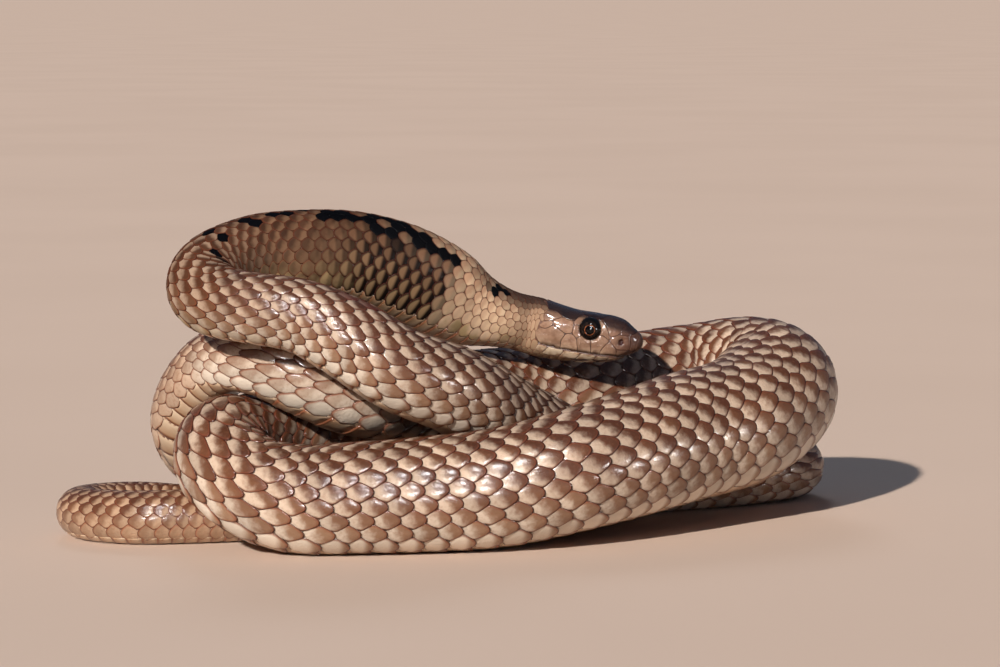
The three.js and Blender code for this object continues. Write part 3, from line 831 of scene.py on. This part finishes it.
# Length of one scale along the body, by distance behind the nape.
PITCH = np.array([
    (-24, 2.2), (0, 2.3), (10, 2.9), (22, 3.9), (40, 4.2), (100, 4.1), (120, 4.2), (140, 4.8),
    (160, 5.5), (180, 6.4), (200, 7.0), (500, 7.2), (700, 7.4), (800, 7.6), (900, 7.2), (1000, 7.1),
    (1030, 6.6), (1055, 5.2), (1100, 4.8), (1200, 4.5), (1260, 4.1), (1320, 3.6), (1400, 1.8),
], float)
BELLY_EDGE = 134.6       # degrees from the middle of the back to the belly
COUNT_STEP = 0.25        # the scales are counted along the body in steps of this length
steps_along = np.arange(THROAT, BODY_LENGTH, COUNT_STEP)
per_step = COUNT_STEP / np.interp(steps_along[:-1], *PITCH.T)
count_along = np.concatenate([[0], np.cumsum(per_step)])


def distance_of(count):
    return np.interp(count, count_along, steps_along)


def count_at(distance):
    return float(np.interp(distance, steps_along, count_along))


def on_body(distance, degrees, height):
    """The point at this distance, angle from the middle of the back and height over the skin."""
    row = np.clip((distance - surface_at[0]) / STEP, 0, len(surface_at) - 1.001)
    column = ((degrees + rolled(distance)) / 360 * SIDES) % SIDES
    r0, c0 = np.floor(row).astype(int), np.floor(column).astype(int) % SIDES
    fr, fc = (row - r0)[..., None], (column - np.floor(column))[..., None]
    c1 = (c0 + 1) % SIDES

    def mixed(grid):
        return ((1 - fr) * ((1 - fc) * grid[r0, c0] + fc * grid[r0, c1])
                + fr * ((1 - fc) * grid[r0 + 1, c0] + fc * grid[r0 + 1, c1]))

    place = mixed(surface) + unit(mixed(surface_out)) * height[..., None]
    place[..., 2] = np.maximum(place[..., 2], 0)
    return place


def row_places(rows):
    """Angle of each row's middle on one side, and each row's width, for rows beyond the middle."""
    width = np.ones(rows + 1)
    # Half of the middle row lies on this side, and the rows next to the belly are broader.
    width[0] = 0.5
    width[-2:] = 1.15, 1.45
    width = width / width.sum() * BELLY_EDGE
    middle = np.concatenate([[0], np.cumsum(width)[:-1] + width[1:] / 2])
    width[0] *= 2
    return middle, width


# Angles round a scale, from its free tip; the narrow scales of the nape and neck are rounded.
ROUND = np.radians([0, 14, 30, 48, 68, 90, 130, 180, 230, 270, 292, 312, 330, 346])
ROUNDNESS = 2.4
# Half the outline of a scale of the trunk, from the tip round to the root: a blunt hexagon.
HEXAGON = np.array([(1, 0), (0.965, 0.22), (0.8, 0.45), (0.5, 0.71), (0.2, 0.94), (0, 1),
                    (-0.62, 0.76), (-1, 0)])
HEXAGON = np.vstack([HEXAGON, HEXAGON[-2:0:-1] * (1, -1)])
TIP, ROOT = 0.56, 0.62   # reach of a scale towards tail and head, in shares of its row's pitch
# Rings of a scale: share of its outline and drop under its crown in millimetres.
SCALE_RINGS = [(0.5, 0), (0.88, 0.02), (1, 0.13), (0.985, 0.42)]
# Height of a full-grown scale over the skin: at its root, and what its free end and dome add.
ROOT_LIFT, TIP_LIFT, DOME = 0.02, 0.66, 0.07
# Where the first scales stand behind the shields of the head, by degrees from the middle.
FIRST_SCALES = np.array([(0, -6), (28, -6), (45, -7.4), (70, -6.6), (134, -5.4)], float)
THROAT_ROWS, THROAT_WIDTH = 3, 13    # rows to a side under the throat, and degrees of each


def copies(faces, count, size):
    """The faces of many copies of a small mesh that has size vertices."""
    shift = (np.arange(count) * size)[:, None, None]
    return [(part[None] + shift).reshape(-1, part.shape[1]) for part in faces]


def map_along(centre, a, pitch, first, last):
    """Place along the flat map of a point of a scale, a fiftieth of it kept free at each end."""
    span = last - first
    return (centre - first) / span * 0.96 + 0.02 + a * 0.72 * pitch / span


def scales(zones, first, last, seed):
    """Points, faces, looks and flat map of all scales in zones of (from, to, rows to a side)."""
    chance = np.random.default_rng(seed)
    roots = []
    for start, end, rows in zones:
        if rows == "throat":
            base, rows = 180, THROAT_ROWS
            offset, broad = THROAT_WIDTH * np.arange(rows + 1), np.full(rows + 1, THROAT_WIDTH)
        else:
            base = 0
            offset, broad = row_places(rows)
        for row in range(-rows, rows + 1):
            at = base + (offset[row] if row >= 0 else -offset[-row])
            begin = start if base else max(start, np.interp(abs(at), *FIRST_SCALES.T))
            wholes = range(math.ceil(count_at(begin)), math.ceil(count_at(end)))
            roots += [(whole + 0.5 * (row % 2), at, broad[abs(row)]) for whole in wholes]
    count, degrees, width = np.array(roots).T
    degrees = np.where(degrees > 180, degrees - 360, degrees)
    n = len(count)
    # Every scale stands a little out of line, more so on the nape.
    loose = np.where(distance_of(count) < 25, 0.06, 0.025)
    count = count + chance.uniform(-1, 1, n) * loose
    degrees = degrees + chance.uniform(-1, 1, n) * loose * width
    behind = distance_of(count)
    pitch = np.interp(behind, *PITCH.T)
    breadth = np.interp(behind, [10, 30, 175], [0.67, 0.7, 0.72])[:, None] * width[:, None]
    blunt = np.interp(behind, [8, 30, 150], [0, 0.75, 1])[:, None]
    # The outline, as a share of the pitch along and of the breadth across, and its inner rings.
    radius = (np.abs(np.cos(ROUND)) ** ROUNDNESS + np.abs(np.sin(ROUND)) ** ROUNDNESS)
    radius = radius ** (-1 / ROUNDNESS)
    outlines = (np.cos(ROUND) * radius * (1 - blunt) + HEXAGON[:, 0] * blunt,
                np.sin(ROUND) * radius * (1 - blunt) + HEXAGON[:, 1] * blunt)
    shares, drops = zip(*SCALE_RINGS)
    a, b = (np.concatenate([np.zeros((n, 1))] + [outline * share for share in shares], axis=1)
            for outline in outlines)
    edge, drop = (np.append(0, np.repeat(column, len(ROUND))) for column in (shares, drops))
    a = np.where(a > 0, a * TIP, a * ROOT)
    size = np.interp(pitch, [2.3, 3.9, 4.4, 7.3, 8], [0.22, 0.3, 0.45, 1, 1.1])[:, None]
    rise = TIP_LIFT * (1 - ((TIP - a) / (TIP + ROOT)) ** 1.7)
    lift = ROOT_LIFT + rise + DOME * (1 - edge**2) - drop
    lift = lift * size * chance.uniform(0.88, 1.1, (n, 1))
    turned = degrees[:, None] + b * breadth
    points = on_body(distance_of(count[:, None] + a), turned, lift)
    sides = len(ROUND)
    ring = 1 + np.arange(sides)
    plate = [fan(ring[::-1], 0), tube(len(shares), 1, sides)[:, [1, 2, 3, 0]],
             (ring + sides * (len(shares) - 1))[None]]
    centre, at = distance_of(count + 0.1)[:, None], degrees[:, None]
    every = np.ones(a.shape)
    looks = {"scale": [(a + ROOT) / (TIP + ROOT), -b * np.sign(at + 0.01), every * edge],
             "body": [every * np.abs(at) / 180, every * centre,
                      every * chance.uniform(0, 1, (n, 1))],
             "mark": list((markings(centre, at) * every[..., None]).transpose(2, 0, 1))}
    u = map_along(centre, a - 0.03, pitch[:, None], first, last)
    v = (turned - at) * 0.5 / 360 + at / 360 + 0.5
    return points.reshape(-1, 3), copies(plate, n, a.shape[1]), looks, (u, v)


def coat_piece(name, made, material):
    points, faces, looks, (u, v) = made
    piece = new_mesh(name, points, faces)
    for look, values in looks.items():
        put(piece, look, *[value.ravel() for value in values])
    bake_map(piece, u, v)
    piece.data.materials.append(material)


def scale_paint(name, roughness, coat, coat_roughness, specular):
    """The colours of the scales: pale at the base, brown at the free end, with a reddish rim."""
    material = start_material(name, roughness, coat, coat_roughness, specular)
    to_tip, to_back, to_edge = read("scale")
    from_back, behind, chance = read("body")
    black, stained, neck = read("mark")
    cloudy = sums("SUBTRACT", grain(420), 0.5)
    low = fade(from_back, 0.3, 0.76)
    first_row = fade(from_back, 0.615, 0.65)
    # Where the loop plunges behind, the lower rows are paler: partly their own cream, partly painted
    # light.
    plunge_cream_and_painted_light = both(fade(behind, 975, 1005), less(fade(behind, 1070, 1090)))
    tail = fade(behind, 1140, 1180)
    # The brown lies on the free end and the back's side of each scale, the cream on the rest.
    fore = sums("ADD", to_tip, both(to_back, less(both(low, 0.6)), 0.26))
    tip = fade(sums("ADD", fore, both(cloudy, 0.55)), 0.26, 0.7)
    # Less brown there on the lower rows, partly as painted light on that loop.
    tip = both(tip, less(both(plunge_cream_and_painted_light, low, 0.7)))
    hind = both(fade(behind, 1045, 1060), less(tail), 0.8)
    base = over(mix(low, (186, 162, 140), (202, 190, 174)), (both(tail, 0.9), (166, 134, 106)),
                (hind, (170, 138, 112)))
    centre = mix(fade(from_back, 0.1, 0.55), (78, 44, 28), (104, 62, 40))
    centre = mix(low, centre, (156, 124, 98))
    pale = both(fade(chance, 0.3, 0.9), less(to_edge), 0.6)
    centre = mix(pale, centre, mix(low, (108, 76, 52), (154, 130, 104)))
    smudge = both(fade(to_back, -0.1, 0.8), fade(to_tip, 0.4, 0.75), less(low), 0.5)
    mottle = both(fade(grain(900), 0.45, 0.75), 0.3)
    # The row beside the belly is cream at the base.
    cream = both(first_row, less(fade(to_tip, 0.6, 0.85)), less(fade(behind, 1035, 1055)))
    # On the neck the scales are tan, olive further back and brown at the nape.
    tan = mix(tip, (232, 198, 162), mix(low, (202, 160, 128), (210, 180, 150)))
    olive = mix(tip, (116, 86, 64), mix(low, (66, 42, 30), (98, 74, 54)))
    yellow = both(fade(from_back, 0.52, 0.72), fade(grain(160), 0.35, 0.6))
    tan = over(tan, (fade(behind, 34, 66), olive), (yellow, (176, 150, 108)),
               (both(less(fade(behind, 2, 16)), 0.8), (146, 116, 92)))
    dirt = sums("MAXIMUM", less(fade(to_tip, 0.34, 0.6)), fade(to_edge, 0.62, 0.94))
    stain = mix(dirt, mix(low, (104, 74, 54), (138, 112, 82)), (24, 15, 11))
    # The rim of the free end, the dark middle of the nape, the dark outline of every scale, partly
    # dark skin and partly painted shade along the step of its edge, and the red of a rare one.
    rim = both(fade(to_edge, 0.72, 0.92), fade(to_tip, 0.2, 0.45), less(both(neck, 0.45)),
               less(stained), 0.8)
    nape = both(less(fade(from_back, 0.16, 0.42)), less(fade(behind, 6, 40)), 0.9)
    # The outline is partly the dark skin between scales and partly painted shade at each scale's
    # edge.
    outline = both(fade(to_edge, 0.88, 0.97), sums("ADD", both(neck, 0.25), 0.65))
    rare = both(fade(chance, 0.998, 0.9985), 0.8)
    colour = over(mix(tip, base, centre), (smudge, (78, 43, 27)), (mottle, (128, 84, 60)),
                  (cream, (214, 200, 182)), (neck, tan), (stained, stain),
                  (rim, mix(low, (106, 56, 36), (142, 88, 62))), (nape, (46, 29, 27)),
                  (outline, (72, 36, 26)), (rare, (78, 30, 20)), (black, (6, 6, 9)))
    paint_each(colour, chance, 0.34, 0.83)
    return material


neck_material = scale_paint("satin neck scales", 0.6, 0.02, 0.25, 0.04)
crinkle(1500, 0.03)
scale_material = scale_paint("smooth brown scales", 0.5, 0.7, 0.24, 0.08)
crinkle(1300, 0.16)

# Each piece of the coat: its zones, by distance behind the nape and rows to a side.
ZONES = [
    ("neck_scales", [(-8, 130, 8), (-16.5, 3, "throat")]),
    ("trunk_scales_1", [(130, 400, 8)]), ("trunk_scales_2", [(400, 680, 8)]),
    ("trunk_scales_3", [(680, 930, 8)]),
    ("trunk_scales_4", [(930, 1085, 8), (1085, 1130, 7), (1130, 1180, 6)]),
    ("tail_scales", [(1180, 1320, 5), (1320, 1362, 4), (1362, 1391, 3)]),
]
for number, (name, zones) in enumerate(ZONES):
    slot, material = ("body_scales", scale_material) if number else ("neck_scales", neck_material)
    coat_piece(name, scales(zones, zones[0][0], zones[-1][1], number + 1), material)

# ---- the belly ---------------------------------------------------------------------------------
# One broad cross-wise scute for each scale of the row beside it, cream with a brown free edge;
# under the tail they are in pairs.

# Section of a scute along the body: share of its length and height over the skin.
SCUTE = [(-0.55, 0), (-0.1, 0.16), (0.35, 0.3), (0.52, 0.33), (0.6, 0.24), (0.58, 0.05),
         (-0.55, -0.1)]
ACROSS = np.linspace(-1, 1, 11)


def scutes(first, last, halves, seed):
    """Scutes from one distance to another; halves lists the middle and half width of each."""
    chance = np.random.default_rng(seed)
    roots = [(whole + 0.5 * number / len(halves), middle, wide)
             for whole in range(math.ceil(count_at(first)), math.ceil(count_at(last)))
             for number, (middle, wide) in enumerate(halves)]
    count, middle, wide = (column[:, None, None] for column in np.array(roots).T)
    a, height = (np.array(column)[None, None] for column in zip(*SCUTE))
    b = ACROSS[None, :, None]
    bowed = a - 0.16 * b**2 * (len(halves) == 1)
    pitch = np.interp(distance_of(count), *PITCH.T)
    degrees = 180 + middle + wide * b + 0 * a
    degrees = np.where(degrees > 180, degrees - 360, degrees)
    lift = height * np.clip(pitch / 7.3, 0.42, 1.1) + 0 * b
    points = on_body(distance_of(count + bowed), degrees, lift)
    n, sections, around = points.shape[:3]
    ring = np.arange(around)
    scute = [tube(sections, 0, around)[:, [0, 3, 2, 1]],
             np.stack([ring, (sections - 1) * around + ring[::-1]])]
    every = np.ones((n, sections, around))
    centre = distance_of(count)
    marks = markings(centre, 180 + 0 * centre) * every[..., None]
    looks = {"scale": [every * (a + 0.55) / 1.15, every * b, every * np.abs(b)],
             "body": [np.abs(degrees) / 180 * every, every * centre,
                      every * chance.uniform(0, 1, (n, 1, 1))],
             "mark": list(marks.transpose(3, 0, 1, 2))}
    u = map_along(centre, a, pitch, first, last) + 0 * b
    v = 0.5 + (middle + wide * b * 0.95) / 360 + 0 * a + 0 * u
    return points.reshape(-1, 3), copies(scute, n, sections * around), looks, (u, v)


scute_material = start_material("cream belly scutes", 0.32, 0.3, 0.15)
to_tip = read("scale")[0]
chance = read("body")[2]
stained = read("mark")[1]
colour = over(mix(fade(to_tip, 0.3, 0.85), (196, 170, 142), (168, 134, 104)),
              (both(fade(grain(240), 0.45, 0.75), 0.35), (164, 126, 96)),
              (both(fade(to_tip, 0.8, 0.92), 0.9), (118, 66, 42)),
              (both(stained, 0.5), (120, 90, 60)))
paint_each(colour, chance, 0.16, 0.9)
crinkle(900, 0.02)

half_belly = 180 - BELLY_EDGE + 2
single = [(0, half_belly)]
pair = [(-half_belly / 2, half_belly / 2), (half_belly / 2, half_belly / 2)]
coat_piece("belly_scutes", scutes(4, 1190, single, 21), scute_material)
coat_piece("under_tail_scutes", scutes(1190, 1388, pair, 22), scute_material)

# ---- floor, light and camera -------------------------------------------------------------------
# A plain pale floor, one bright lamp from the front left with a weak one behind, a dim cool
# surround, and small lamps that only show as gloss on the scales.

KILOMETRE = 1e6
# Far behind, the floor bends up a little, so that no horizon shows.
floor_points = [(across * KILOMETRE, away * KILOMETRE, height * KILOMETRE)
                for away, height in ((-4, 0), (0.2, 0), (2, 0.06)) for across in (-4, 4)]
floor = new_mesh("floor", floor_points, [np.array([(0, 1, 3, 2), (2, 3, 5, 4)])])
floor_material = start_material("pale floor", 0.95, 0, 0.3, 0)
sand = mix(fade(grain(3), 0.3, 0.7), (208, 184, 166), (205, 181, 163))
feed(shader.inputs["Base Color"], sand)
floor.data.materials.append(floor_material)

world = bpy.data.worlds.new("studio")
bpy.context.scene.world = world
world.use_nodes = True
surround = world.node_tree.nodes["Background"]
surround.inputs["Color"].default_value = (0.5, 0.66, 1, 1)
surround.inputs["Strength"].default_value = 0.13
bpy.context.scene.view_settings.view_transform = "Standard"


def lamp(name, left, up, power, softness, colour):
    """A far lamp that shines from degrees left of the viewer and degrees up, without gloss."""
    light = bpy.data.lights.new(name, "SUN")
    light.energy = power
    light.angle = math.radians(softness)
    light.color = colour
    holder = bpy.data.objects.new(name, light)
    holder.rotation_euler = (math.radians(90 - up), 0, -math.radians(left))
    holder.visible_glossy = False
    bpy.context.scene.collection.objects.link(holder)


def glint(name, lit, towards, away, power, size, cone):
    """A lamp that only shows as gloss round one place, seen from there in a direction."""
    light = bpy.data.lights.new(name, "SPOT")
    light.energy = power
    light.spot_size = math.radians(cone)
    light.spot_blend = 1
    light.shadow_soft_size = size
    holder = bpy.data.objects.new(name, light)
    holder.location = Vector(lit) + Vector(towards).normalized() * away
    holder.rotation_euler = (Vector(lit) - holder.location).to_track_quat("-Z", "Y").to_euler()
    holder.visible_diffuse = False
    bpy.context.scene.collection.objects.link(holder)


lamp("key", 26, 28, 5.1, 1.5, (1, 0.955, 0.91))
lamp("back", 172, 38, 0.6, 18, (0.7, 0.82, 1))
FRONT_COIL, STRAND, CHEEK = (-0.01, -0.08, 0.03), (-0.014, -0.052, 0.05), (0.014, -0.03, 0.095)
glint("low front gloss", FRONT_COIL, (0.1, -0.97, 0.15), 0.8, 200, 0.1, 5.5)
glint("front gloss", FRONT_COIL, (0.1, -0.86, 0.5), 0.8, 320, 0.14, 5.5)
glint("high front gloss", FRONT_COIL, (0.1, -0.6, 0.8), 0.8, 180, 0.1, 5.5)
glint("strand gloss", STRAND, (0.886, -0.45, 0.06), 0.7, 260, 0.15, 5.5)
glint("head gloss", CHEEK, (0.3, -0.88, 0.36), 0.7, 42, 0.03, 5)

FALL, RUN = 333, 3333    # the middle line of the view falls this much over this run
view = bpy.data.cameras.new("camera")
view.lens = 120
view.sensor_width = 36
view.clip_start = 0.05
view.clip_end = 9000
camera = bpy.data.objects.new("camera", view)
camera.location = (0.0147, -1.0572, 0.1656)
camera.rotation_euler = (math.pi / 2 - math.atan(FALL / RUN), 0, 0)
bpy.context.scene.collection.objects.link(camera)
bpy.context.scene.camera = camera
